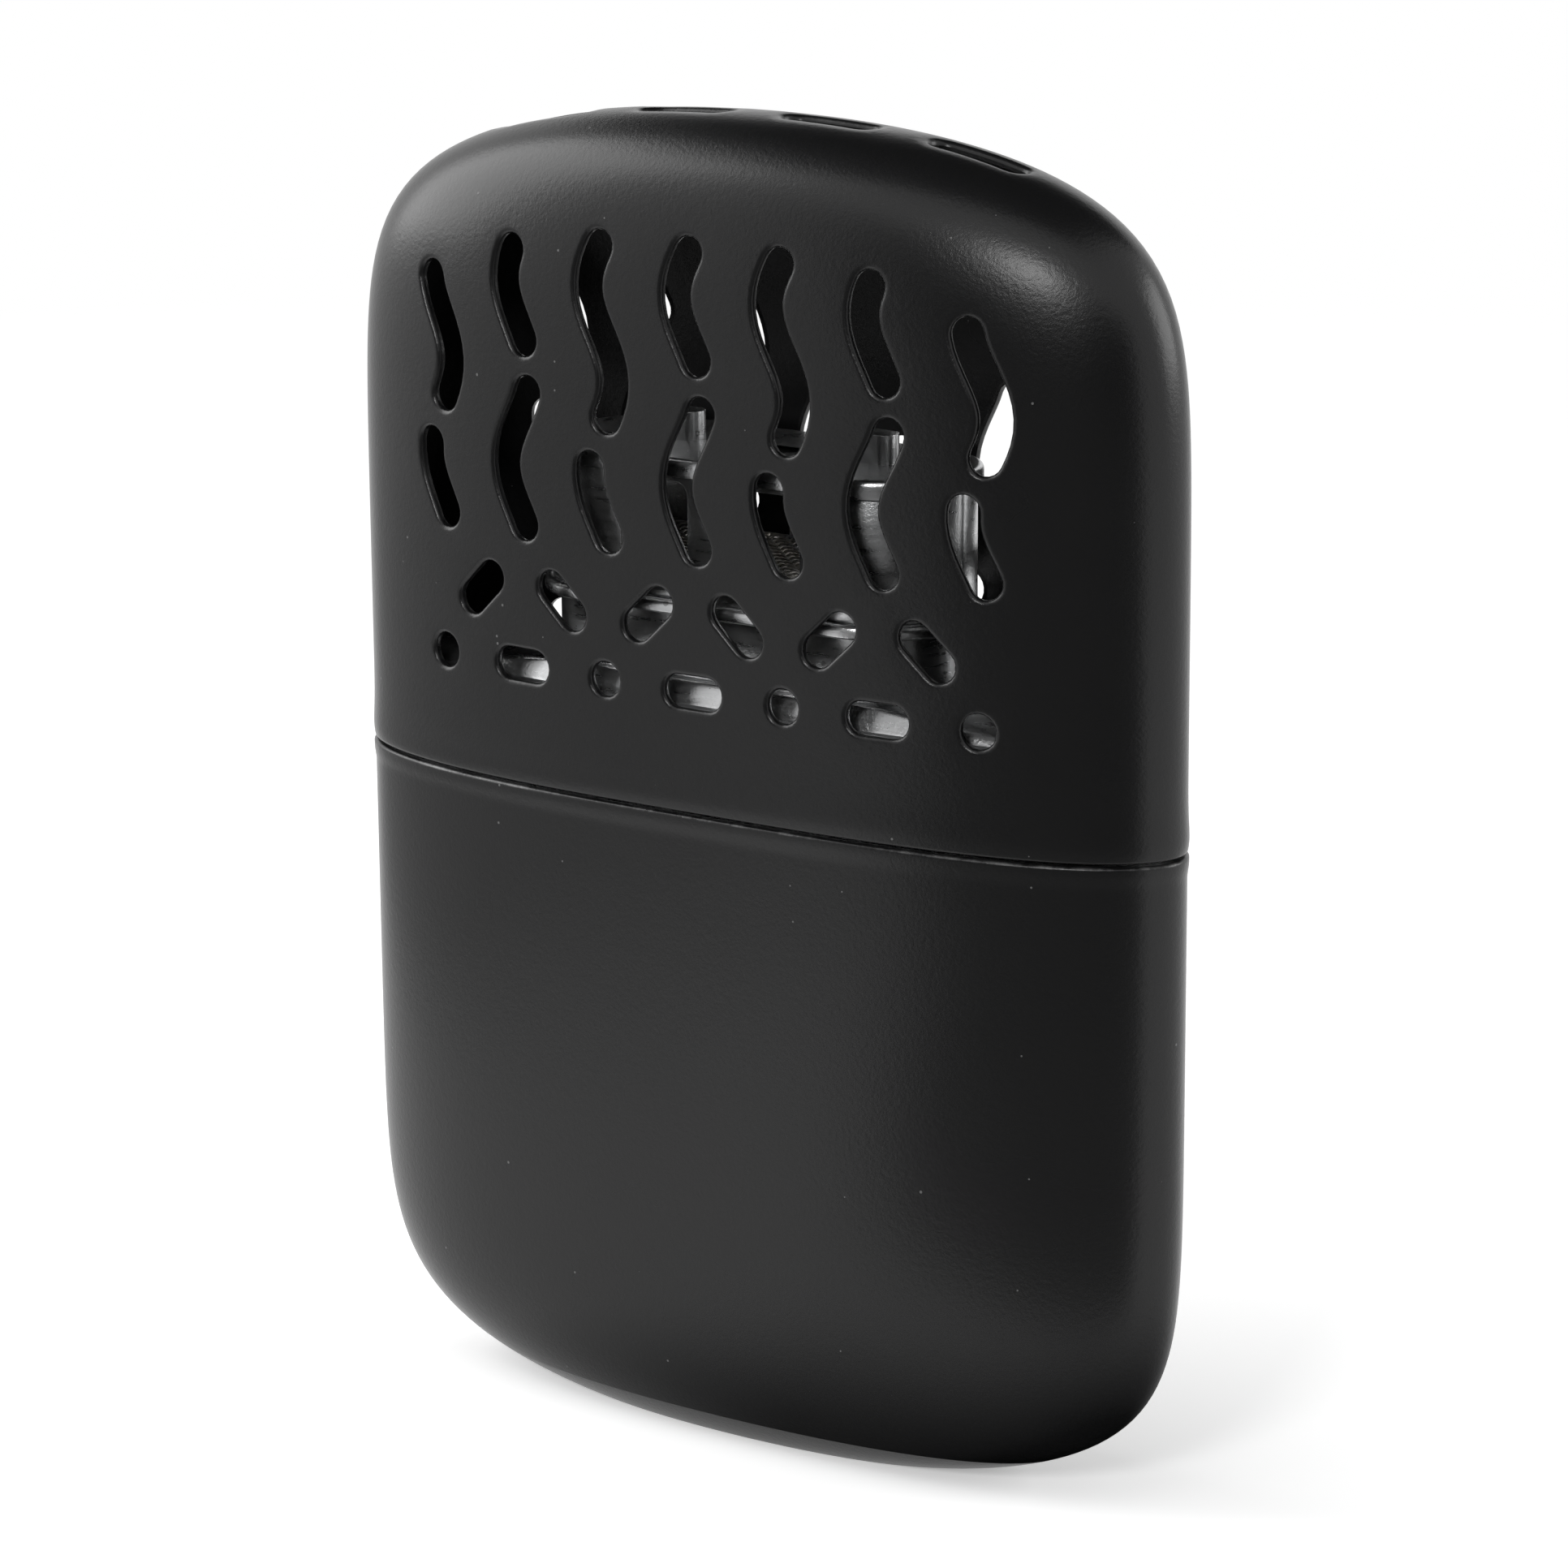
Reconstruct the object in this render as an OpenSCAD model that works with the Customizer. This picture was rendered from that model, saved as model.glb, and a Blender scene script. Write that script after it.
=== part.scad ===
// Catalytic hand warmer: a fuel tank, a catalyst burner on its mouth and a pierced cover.
// Millimetres. +Z runs up through the mouth, -Y is the front, and z = 0 is the foot the tank rests on.

/* [Body] */
// Width across the rounded sides
body_w = 67; // [60:0.5:76]
// Height of the full form, crown to crown, before the foot is flattened
form_h = 94.3; // [90.8:0.5:103.3]
// Thickness front to back
body_t = 16.8; // [16.4:0.1:20]
// How much of the lower crown is pressed flat as a foot
foot_cut = 1.4; // [1.2:0.05:1.6]
// Sheet thickness of the tank and the cover
wall = 0.55; // [0.45:0.05:0.7]
// How far below the middle of the form the cover meets the tank
split_drop = 0; // [0:0.1:2]
// Depth of the groove that the two rolled rims leave
rim_roll = 0.35; // [0.2:0.05:0.45]

/* [Tank top] */
// Sliding gap between the cover and the band it slides over
cover_gap = 0.25; // [0.2:0.05:0.35]
// How far the bright band stands up above the tank rim
band_h = 7.3; // [6:0.1:7.6]
// Rise of the shoulder from the band to the mouth
shoulder_rise = 1.6; // [1.2:0.1:2]

/* [Mouth] */
// Half length between the centres of the mouth's round ends
mouth_half = 10.2; // [9:0.1:10.2]
// Outer radius of the mouth's round ends
mouth_r = 5.2; // [5:0.05:5.3]
// Height of the mouth's rim above the tank rim
mouth_h = 13.6; // [13.4:0.1:14.2]
// Sheet thickness of the mouth
mouth_wall = 0.5; // [0.4:0.05:0.6]
// How far the mouth's flange reaches under the shoulder
mouth_flange = 0.35; // [0.25:0.05:0.35]

/* [Burner] */
// Running gap between the mouth and the burner's skirt
skirt_gap = 0.08; // [0.05:0.01:0.1]
// Sheet thickness of the burner's pieces
sheet = 0.4; // [0.3:0.05:0.45]
// Half length between the centres of the cage's round ends
cage_half = 10.2; // [10.2:0.1:10.8]
// Outer radius of the cage's round ends
cage_r = 6.2; // [6.1:0.05:6.3]
// Height of the cage above its flange
cage_h = 9.4; // [9:0.1:10.5]
// Width of the strap between the two windows on each side
strap_w = 3.6; // [3:0.1:4.4]
// Width of each window
window_w = 5.6; // [4.6:0.1:6]

/* [Vents] */
// Width of the long slots
slot_w = 2.3; // [2:0.05:2.5]
// Spacing of the upright wavy slots
column_step = 7.4; // [6.6:0.1:7.8]
// How far a wavy slot swings to each side
wave_swing = 1.1; // [0.6:0.05:1.3]
// Height over which the wave repeats
wave_pitch = 13; // [11:0.5:15]
// Diameter of the round holes
dot_d = 2.4; // [2:0.1:2.6]
// Spacing of the slots in the crown
crown_step = 11.8; // [11:0.1:12.4]
// Length of the slots in the crown
crown_slot_l = 7.4; // [6:0.1:8]
// Width of the slots in the crown
crown_slot_w = 2; // [1.6:0.1:2.2]

/* [Hidden] */

// The form: |x|^side + |z|^end is how far out a point of the face lies, from 0 in the middle to 1
// on the outline, and the thickness falls off with that reach to the power face_exp.
half_w = body_w / 2;
half_h = form_h / 2;
half_t = body_t / 2;
mid_z = half_h - foot_cut;
side_exp = 2.12;
crown_exp = 9.28;
base_exp = 9.64;
face_exp = 1.45;
// points in one ring around the form, and how near to a crown the last ring lies
around = 48;
crown_end = 0.9985;

// Where the cover meets the tank: both rims are rolled in over rim_h, and swell a little beside it
split_z = mid_z - split_drop;
rim_h = 0.5;
swell = 0.12;
swell_h = 6;
bead_drop = 2;

// Tank top: the skirt is pressed into the tank, the band stands clear of the cover
top_wall = 0.5;
top_out = wall + cover_gap;
press_gap = 0.02;
seat_out = wall + press_gap;
seat_depth = 4.2;
seat_top = 0.6;
step_top = 0.3;
bend_r = 0.9;
band_z = split_z + band_h;
crest_z = band_z + shoulder_rise;
mouth_z = split_z + mouth_h;

// Mouth: the flange lies under the shoulder's crest, the grid and the felt hang below it
flange_h = 0.5;
flange_top = crest_z - top_wall - 0.35;
grid_top = crest_z - 0.9;
grid_h = 0.4;
grid_hole_r = 0.75;
grid_step = [2.4, 2.6];
felt_top = crest_z - 1.4;
felt_h = 3.4;
lay_gap = 0.05;

// Batting: one wide layer between two narrower ones
middle_w = 56;
middle_low = 4.2;
middle_top = band_z - 3.5;
middle_t = 4.6;
middle_corner = 10;
side_w = 40;
side_low = 8.5;
side_top = split_z - 5;
side_t = 3.7;
side_corner = 8;
side_y = 4.45;

// Heights in the burner, which stands on the mouth's rim
skirt_z = mouth_z - 3.8;
floor_z = mouth_z;
floor_h = 0.4;
floor_hole_r = 0.8;
floor_step = [2.4, 1.9];
flange_z = mouth_z + 0.8;
flange_out = 0.6;
lip_h = 1;
cap_z = flange_z + cage_h;
cap_rim_h = 0.9;
cap_slot = 4;
cap_slot_r = 1.1;
cap_slot_step = 8;
skirt_r = mouth_r + skirt_gap;
grip_gap = 0.03;
half_gap = 0.02;
window_edge = 1.1;
window_drop = 0.2;
window_corner = 0.9;
mat_z = flange_z + 0.05;
mat_h = 2.1;
mat_gap = 0.4;
mat_crown = [0.4, 0.5];

// Screens
wire = 0.45;
screen_h = 0.34;
screen_rim = 0.5;
support_step = 1.7;
mat_step = 1.8;

black = [0.05, 0.05, 0.055];
bright = [0.78, 0.79, 0.8];
brass = [0.72, 0.62, 0.38];
steel = [0.6, 0.6, 0.6];
felt_grey = [0.62, 0.6, 0.56];
cotton = [0.95, 0.94, 0.9];
fibre = [0.5, 0.49, 0.47];

// ---- The form ----

// Share of the reach that height z uses up, on the form drawn in by inset
function end_share(z, inset) =
    pow(abs(z - mid_z) / (half_h - inset), z > mid_z ? crown_exp : base_exp);

// Half thickness of the form at x and z
function half_depth(x, z, inset) =
    let (share = pow(abs(x) / (half_w - inset), side_exp) + end_share(z, inset))
    (half_t - inset) * sqrt(max(0, 1 - pow(min(1, share), face_exp)));

// One closed ring of points around the form at height z; grow moves it out evenly
function ring(z, inset, grow = 0) =
    let (reach = (half_w - inset) * pow(1 - end_share(z, inset), 1 / side_exp))
    [for (i = [0:around - 1])
        let (
            turn = 360 * i / around,
            x = reach * cos(turn),
            y = sign(round(1000 * sin(turn))) * half_depth(x, z, inset)
        )
        [x * (1 + grow / (half_w - inset)), y * (1 + grow / (half_t - inset)), z]];

// Heights that close up towards a crown, from 0 at the middle to 1 at the crown
function crown_steps(count, last) =
    [for (k = [1:count]) last * (1 - pow(1 - k / count, 2.2))];

// A shell between two lists of rings that run the same way from its rim to its closed end
module shell(outer, inner, upward) {
    n = around;
    rows = len(outer);
    rows_in = len(inner);
    base_in = rows * n;
    sides = [for (r = [0:rows - 2], i = [0:n - 1])
        let (a = r * n + i, b = r * n + (i + 1) % n)
        each [[a, a + n, b], [b, a + n, b + n]]];
    inside = [for (r = [0:rows_in - 2], i = [0:n - 1])
        let (a = base_in + r * n + i, b = base_in + r * n + (i + 1) % n)
        each [[a, b, a + n], [b, b + n, a + n]]];
    rim = [for (i = [0:n - 1])
        let (a = i, b = (i + 1) % n)
        each [[a, b, base_in + a], [b, base_in + b, base_in + a]]];
    end_out = [[for (i = [n - 1:-1:0]) (rows - 1) * n + i]];
    end_in = [[for (i = [0:n - 1]) base_in + (rows_in - 1) * n + i]];
    faces_up = concat(sides, inside, rim, end_out, end_in);
    faces_down = [for (f = faces_up) [for (k = [len(f) - 1:-1:0]) f[k]]];
    polyhedron(
        points = concat([for (r = outer) each r], [for (r = inner) each r]),
        faces = upward ? faces_up : faces_down
    );
}

// ---- Flat shapes ----

// Outline with straight sides and round ends
module round_ended(half, r) {
    square([2 * half, 2 * r], center = true);
    for (side = [-1, 1]) {
        translate([side * half, 0]) circle(r = r, $fn = 64);
    }
}

// Wall between two round-ended outlines
module round_ended_wall(half, r, thick, height) {
    linear_extrude(height) {
        difference() {
            round_ended(half, r);
            round_ended(half, r - thick);
        }
    }
}

// Rectangle with round corners
module rounded_rectangle(w, h, r) {
    square([w - 2 * r, h], center = true);
    square([w, h - 2 * r], center = true);
    for (sx = [-1, 1], sy = [-1, 1]) {
        translate([sx * (w / 2 - r), sy * (h / 2 - r)]) circle(r = r, $fn = 32);
    }
}

// Direction from p to q
function heading(p, q) = atan2(q[1] - p[1], q[0] - p[0]);

// Outline of a slot of half width r along a line of points, with round ends
function slot_outline(path, r) =
    let (
        last = len(path) - 1,
        turn = [for (i = [0:last]) heading(path[max(0, i - 1)], path[min(last, i + 1)])]
    )
    concat(
        [for (i = [0:last]) path[i] + r * [cos(turn[i] - 90), sin(turn[i] - 90)]],
        [for (a = [-72:18:72]) path[last] + r * [cos(turn[last] + a), sin(turn[last] + a)]],
        [for (i = [last:-1:0]) path[i] + r * [cos(turn[i] + 90), sin(turn[i] + 90)]],
        [for (a = [108:18:252]) path[0] + r * [cos(turn[0] + a), sin(turn[0] + a)]]
    );

// ---- Vents: a lattice of rising waves over two rows of small holes ----

crown_slot_z = mid_z + half_h - 7;
row_h = 8.6;
row_run = 1.2;
pair_h = 13.6;
lean_run = 0.9;
lean_rise = 0.85;
wave_h = 18.6;
// heights where the waves break off, in every other column
break_even = 29.6;
break_odd = 25;
break_gap = 3.6;
// height of the lattice in the middle, and how much lower it would end at the side of the form
lattice_h = 38.5;
lattice_fall = 12.5;

// Points up a wave about the line at x, between heights low and high above the split
function wave_path(x, low, high) =
    let (steps = max(4, ceil(high - low)))
    [for (k = [0:steps])
        let (h = low + (high - low) * k / steps)
        [x + wave_swing * sin(360 * h / wave_pitch), h]];

// Height of the top of the lattice at x, which follows the crown
function lattice_top(x) = lattice_h - lattice_fall * pow(abs(x) / half_w, 3);

module pierced(path, r) {
    polygon(slot_outline(path, r));
}

// All the vents of one face, drawn with x across and height above the split upwards
module vent_pattern() {
    // upright wavy slots in two staggered tiers
    for (k = [-3:3]) {
        x = k * column_step;
        gap_h = abs(k) % 2 == 0 ? break_even : break_odd;
        pierced(wave_path(x, wave_h, gap_h - break_gap / 2), slot_w / 2);
        pierced(wave_path(x, gap_h + break_gap / 2, lattice_top(x)), slot_w / 2);
    }
    // short slots that lean together in pairs
    for (k = [-2.5:2.5]) {
        lean = (k + 0.5) % 2 == 0 ? lean_rise : -lean_rise;
        x = k * column_step;
        pierced([[x - lean_run, pair_h - lean], [x + lean_run, pair_h + lean]], slot_w / 2);
    }
    // level row of slots and round holes
    for (k = [-3:3]) {
        if (k % 2 == 0) {
            x = k * column_step;
            pierced([[x - row_run, row_h], [x + row_run, row_h]], slot_w / 2);
        } else {
            translate([k * column_step, row_h]) circle(d = dot_d, $fn = 32);
        }
    }
}

// ---- Tank ----

// Deep cup, drawn round at the bottom and pressed flat there to stand on
module tank_shell() {
    inside_drop = mid_z - wall;
    steps = crown_steps(15, 1);
    outer = concat(
        [ring(split_z, 0, -rim_roll), ring(split_z - rim_h, 0)],
        [ring(split_z - bead_drop, 0, swell / 2)],
        [for (s = steps) ring(mid_z - half_h * crown_end * s, 0)]
    );
    inner = concat(
        [ring(split_z, wall), ring(split_z - bead_drop, wall)],
        [for (s = steps) ring(mid_z - inside_drop * s, wall)]
    );
    color(black) difference() {
        shell(outer, inner, false);
        translate([-half_w, -half_t, -half_h]) cube([body_w, body_t, half_h]);
    }
}

// Straight band and crowned shoulder, drawn from one cup with a hole for the mouth
module tank_top() {
    hole_r = mouth_r + lay_gap;
    function hole_ring(z, out) = [for (i = [0:around - 1])
        let (turn = 360 * i / around)
        [sign(round(1000 * cos(turn))) * mouth_half + (hole_r + out) * cos(turn),
         (hole_r + out) * sin(turn), z]];
    function mix(a, b, s) = [for (i = [0:around - 1]) a[i] * (1 - s) + b[i] * s];
    function shoulder(edge, drop, s) =
        let (m = mix(edge, hole_ring(0, 0), s))
        [for (p = m) [p[0], p[1], band_z - drop + shoulder_rise * sin(90 * s)]];
    // rounded edge between the band and the shoulder
    edge_out = ring(split_z, top_out, -bend_r);
    edge_in = ring(split_z, top_out + top_wall, -bend_r);
    outer = concat(
        [ring(split_z - seat_depth, seat_out), ring(split_z - seat_top, seat_out)],
        [ring(split_z - step_top, top_out)],
        [for (a = [0:22.5:67.5])
            [for (p = ring(split_z, top_out, -bend_r * (1 - cos(a))))
                [p[0], p[1], band_z - bend_r * (1 - sin(a))]]],
        [for (s = [0:0.125:1]) shoulder(edge_out, 0, s)]
    );
    inner = concat(
        [ring(split_z - seat_depth, seat_out + top_wall), ring(split_z - seat_top, seat_out + top_wall)],
        [ring(split_z - step_top, top_out + top_wall)],
        [[for (p = ring(split_z, top_out + top_wall)) [p[0], p[1], band_z - top_wall - bend_r]]],
        [for (s = [0:0.125:1]) shoulder(edge_in, top_wall, s)]
    );
    color(bright) open_shell(outer, inner);
}

// A shell open at both ends, between two lists of rings that run upwards
module open_shell(outer, inner) {
    n = around;
    rows = len(outer);
    rows_in = len(inner);
    base_in = rows * n;
    top_o = (rows - 1) * n;
    top_i = base_in + (rows_in - 1) * n;
    sides = [for (r = [0:rows - 2], i = [0:n - 1])
        let (a = r * n + i, b = r * n + (i + 1) % n)
        each [[a, a + n, b], [b, a + n, b + n]]];
    inside = [for (r = [0:rows_in - 2], i = [0:n - 1])
        let (a = base_in + r * n + i, b = base_in + r * n + (i + 1) % n)
        each [[a, b, a + n], [b, b + n, a + n]]];
    low_rim = [for (i = [0:n - 1])
        let (a = i, b = (i + 1) % n)
        each [[a, b, base_in + a], [b, base_in + b, base_in + a]]];
    high_rim = [for (i = [0:n - 1])
        let (a = i, b = (i + 1) % n)
        each [[top_o + a, top_i + a, top_o + b], [top_o + b, top_i + a, top_i + b]]];
    polyhedron(
        points = concat([for (r = outer) each r], [for (r = inner) each r]),
        faces = concat(sides, inside, low_rim, high_rim)
    );
}

// Oval neck with a flange under the shoulder and a rim turned in at the top
module tank_mouth() {
    color(bright) translate([0, 0, flange_top - flange_h]) {
        round_ended_wall(mouth_half, mouth_r, mouth_wall, mouth_z - flange_top + flange_h);
        round_ended_wall(mouth_half, mouth_r + mouth_flange, mouth_flange + mouth_wall, flange_h);
    }
}

// Plate with small holes that keeps the cotton down
module mouth_grid() {
    color(brass) translate([0, 0, grid_top - grid_h]) linear_extrude(grid_h) {
        difference() {
            round_ended(mouth_half, mouth_r - mouth_wall - lay_gap);
            for (kx = [-5:5], ky = [-1:1]) {
                translate([kx * grid_step[0], ky * grid_step[1]]) circle(r = grid_hole_r, $fn = 20);
            }
        }
    }
}

// Felt that leads the vapour up from the cotton
module mouth_felt() {
    color(felt_grey) translate([0, 0, felt_top - felt_h]) linear_extrude(felt_h) {
        round_ended(mouth_half, mouth_r - mouth_wall - 0.3);
    }
}

// One layer of batting: w wide, between heights low and high, centred on depth y
module batting(w, low, high, y, thick, r) {
    color(cotton) translate([0, y, (low + high) / 2]) rotate([90, 0, 0]) {
        linear_extrude(thick, center = true) rounded_rectangle(w, high - low, r);
    }
}

module cotton_front() {
    batting(side_w, side_low, side_top, -side_y, side_t, side_corner);
}

module cotton_middle() {
    batting(middle_w, middle_low, middle_top, 0, middle_t, middle_corner);
}

module cotton_back() {
    batting(side_w, side_low, side_top, side_y, side_t, side_corner);
}

// ---- Burner ----

// Sleeve that slips over the mouth, with a turned-down flange that carries the cage
module burner_skirt() {
    color(bright) {
        translate([0, 0, skirt_z]) {
            round_ended_wall(mouth_half, skirt_r + sheet, sheet, flange_z - skirt_z);
        }
        translate([0, 0, flange_z - sheet]) linear_extrude(sheet) {
            difference() {
                round_ended(cage_half, cage_r + flange_out);
                round_ended(mouth_half, skirt_r);
            }
        }
        translate([0, 0, flange_z - lip_h]) {
            round_ended_wall(cage_half, cage_r + flange_out, sheet, lip_h);
        }
    }
}

// Plate with small holes that rests on the mouth's rim
module burner_floor() {
    color(steel) translate([0, 0, floor_z]) linear_extrude(floor_h) {
        difference() {
            round_ended(mouth_half, skirt_r - grip_gap);
            for (kx = [-5:5], ky = [-1, 1]) {
                translate([kx * floor_step[0], ky * floor_step[1]]) circle(r = floor_hole_r, $fn = 20);
            }
        }
    }
}

// Flat woven screen
module screen(half, r, pitch) {
    color(steel) linear_extrude(screen_h) {
        difference() {
            round_ended(half, r);
            intersection() {
                round_ended(half, r - screen_rim);
                for (kx = [-8:8], ky = [-2:2]) {
                    translate([kx * pitch, ky * pitch]) square(pitch - wire, center = true);
                }
            }
        }
    }
}

module support_screen() {
    translate([0, 0, floor_z + floor_h + 0.02]) screen(mouth_half, skirt_r - 0.08, support_step);
}

module mat_screen() {
    translate([0, 0, mat_z + mat_h + lay_gap]) screen(cage_half, cage_r - sheet - 0.06, mat_step);
}

// Pad of catalyst fibre with a crowned top
module catalyst_mat() {
    color(fibre) translate([0, 0, mat_z]) {
        mat_r = cage_r - sheet - mat_gap;
        linear_extrude(mat_h - mat_crown[0]) round_ended(cage_half, mat_r);
        linear_extrude(mat_h) round_ended(cage_half, mat_r - mat_crown[1]);
    }
}

// Upright wall of the cage with two windows on the front and two on the back
module cage_wall() {
    difference() {
        translate([0, 0, flange_z]) round_ended_wall(cage_half, cage_r, sheet, cage_h);
        for (side = [-1, 1]) {
            translate([side * (strap_w + window_w) / 2, 0, flange_z + cage_h / 2 - window_drop]) {
                rotate([90, 0, 0]) linear_extrude(3 * cage_r, center = true) {
                    rounded_rectangle(window_w, cage_h - 2 * window_edge, window_corner);
                }
            }
        }
    }
}

module cage_half_at(side) {
    reach = cage_half + cage_r + 1;
    intersection() {
        cage_wall();
        translate([-reach, side > 0 ? half_gap : -reach - half_gap, flange_z - 1]) {
            cube([2 * reach, reach, cage_h + 2]);
        }
    }
}

module cage_front() {
    color(bright) cage_half_at(-1);
}

module cage_back() {
    color(bright) cage_half_at(1);
}

// Plate that grips both halves of the cage at the top
module cage_cap() {
    color(bright) {
        translate([0, 0, cap_z]) linear_extrude(sheet) {
            difference() {
                round_ended(cage_half, cage_r + sheet + grip_gap);
                for (k = [-1:1]) {
                    translate([k * cap_slot_step, 0]) round_ended(cap_slot / 2, cap_slot_r);
                }
            }
        }
        translate([0, 0, cap_z - cap_rim_h]) {
            round_ended_wall(cage_half, cage_r + sheet + grip_gap, sheet, cap_rim_h);
        }
    }
}

// ---- Cover ----

module cover_shell() {
    steps = crown_steps(19, crown_end);
    rise_in = half_h - wall;
    function bulge(z) = swell * max(0, 1 - pow((z - split_z - swell_h / 2) / (swell_h / 2), 2));
    outer = concat(
        [ring(split_z, 0, -rim_roll), ring(split_z + rim_h, 0, 0)],
        [for (h = [1.5, 3, 4.5]) ring(split_z + h, 0, bulge(split_z + h))],
        [for (k = [1:18]) ring(mid_z + half_h * steps[k], 0)]
    );
    inner = concat(
        [ring(split_z, wall), ring(split_z + 4.5, wall)],
        [for (k = [1:18]) ring(mid_z + rise_in * steps[k], wall)]
    );
    color(black) difference() {
        shell(outer, inner, true);
        translate([0, 0, split_z]) rotate([90, 0, 0]) {
            linear_extrude(2 * body_t, center = true) vent_pattern();
        }
        for (k = [-1.5:1:1.5]) {
            translate([k * crown_step, 0, crown_slot_z]) {
                linear_extrude(half_t) round_ended((crown_slot_l - crown_slot_w) / 2, crown_slot_w / 2);
            }
        }
    }
}

tank_shell();
tank_top();
tank_mouth();
mouth_grid();
mouth_felt();
cotton_front();
cotton_middle();
cotton_back();
burner_skirt();
burner_floor();
support_screen();
catalyst_mat();
mat_screen();
cage_front();
cage_back();
cage_cap();
cover_shell();
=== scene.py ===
import math
import random

import bpy
import numpy as np
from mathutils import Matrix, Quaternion, Vector, geometry


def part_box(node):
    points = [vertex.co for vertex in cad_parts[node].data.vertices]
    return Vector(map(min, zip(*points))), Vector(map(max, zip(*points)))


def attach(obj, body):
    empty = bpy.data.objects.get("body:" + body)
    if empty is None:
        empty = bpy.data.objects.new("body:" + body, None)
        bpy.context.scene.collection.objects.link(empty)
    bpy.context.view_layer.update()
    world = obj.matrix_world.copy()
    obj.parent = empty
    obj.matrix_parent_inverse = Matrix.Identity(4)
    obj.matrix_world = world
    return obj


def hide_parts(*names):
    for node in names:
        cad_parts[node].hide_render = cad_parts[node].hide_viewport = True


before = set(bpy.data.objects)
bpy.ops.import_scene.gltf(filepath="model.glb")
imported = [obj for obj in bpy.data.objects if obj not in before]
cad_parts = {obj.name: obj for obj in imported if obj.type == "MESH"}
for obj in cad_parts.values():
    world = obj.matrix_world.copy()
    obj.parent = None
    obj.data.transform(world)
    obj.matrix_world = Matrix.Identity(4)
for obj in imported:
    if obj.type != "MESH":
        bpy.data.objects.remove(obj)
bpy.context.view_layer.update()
mm = 0.001


# ---- Camera ----
# A long lens a little above the hand warmer and to the right of its front face, turned and rolled
# as in the photograph. Directions are given as a turn from the front and a rise above the floor.

def direction(turn, rise):
    """Unit vector towards a place that many degrees round from the front and above the floor."""
    turn, rise = math.radians(turn), math.radians(rise)
    return Vector((math.sin(turn) * math.cos(rise), -math.cos(turn) * math.cos(rise), math.sin(rise)))


mid_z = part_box("cover_shell")[0].z / mm
camera_aim = Vector((1.693, 0, mid_z + 0.734)) * mm
camera_back, camera_away, camera_roll = direction(35.1, 14.36), 375.0, -0.412
bpy.ops.object.camera_add(location=camera_aim + camera_back * camera_away * mm)
camera = bpy.context.object
camera.rotation_mode = "QUATERNION"
camera.rotation_quaternion = (
    (-camera_back).to_track_quat("-Z", "Y") @ Quaternion((0, 0, 1), math.radians(camera_roll))
)
camera.data.lens = 124.79
camera.data.sensor_width = 36
camera.data.clip_start = 0.02
bpy.context.scene.camera = camera


# ---- Floor and background ----
# A pale matt sweep. Near the hand warmer it keeps the soft shadow, lifted a little for the camera and
# the gloss, and further off it fades to plain white.

def new_material(name):
    """An empty material and its node tree."""
    material = bpy.data.materials.new(name)
    material.use_nodes = True
    material.node_tree.nodes.clear()
    return material, material.node_tree


def add(tree, kind, links=None, **settings):
    """Adds a node to a tree. links gives its inputs a value or another node's output."""
    node = tree.nodes.new("ShaderNode" + kind)
    for key, value in settings.items():
        setattr(node, key, value)
    for key, value in (links or {}).items():
        if isinstance(value, bpy.types.NodeSocket):
            tree.links.new(value, node.inputs[key])
        else:
            node.inputs[key].default_value = value
    return node


def seen_directly(tree):
    """1 for what the camera, a glossy surface or glass sees, 0 for the light that falls on things."""
    path = add(tree, "LightPath")
    either = add(tree, "Math", {0: path.outputs["Is Camera Ray"], 1: path.outputs["Is Glossy Ray"]},
                 operation="MAXIMUM")
    return add(tree, "Math", {0: either.outputs[0], 1: path.outputs["Is Transmission Ray"]},
               operation="MAXIMUM").outputs[0]


floor_r, shadow_reach, plain_from = 3.0, 0.13, 0.5
bpy.ops.mesh.primitive_circle_add(vertices=96, radius=floor_r, fill_type="NGON")
floor = bpy.context.object
floor.name = "floor"

floor_paint, tree = new_material("floor_paint")
pale = add(tree, "BsdfDiffuse", {"Color": (0.86, 0.86, 0.86, 1), "Roughness": 0.0})
lift = add(tree, "Emission", {"Color": (1, 1, 1, 1), "Strength": 0.36})
lifted = add(tree, "AddShader", {0: pale.outputs[0], 1: lift.outputs[0]})
away = add(tree, "VectorMath", {0: add(tree, "TexCoord").outputs["Object"]}, operation="LENGTH")
far_off = add(tree, "MapRange", {"Value": away.outputs["Value"], "From Min": shadow_reach,
                                 "From Max": plain_from})
white = add(tree, "Emission", {"Color": (1, 1, 1, 1), "Strength": 1.0})
faded = add(tree, "MixShader", {0: far_off.outputs[0], 1: lifted.outputs[0], 2: white.outputs[0]})
both = add(tree, "MixShader", {0: seen_directly(tree), 1: pale.outputs[0], 2: faded.outputs[0]})
add(tree, "OutputMaterial", {"Surface": both.outputs[0]})
floor.data.materials.append(floor_paint)

world = bpy.data.worlds.new("studio")
bpy.context.scene.world = world
world.use_nodes = True
tree = world.node_tree
tree.nodes.clear()
strength = add(tree, "MapRange", {"Value": seen_directly(tree), "To Min": 0.3, "To Max": 1.0})
sky = add(tree, "Background", {"Color": (1, 1, 1, 1), "Strength": strength.outputs[0]})
add(tree, "OutputWorld", {"Surface": sky.outputs[0]})


# ---- Studio light ----
# A small soft box in front, broad ones on the left and right, and one overhead for the floor. Cards
# on the floor, in front, above and round the foot are seen only in the gloss and shade the paint.

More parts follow.
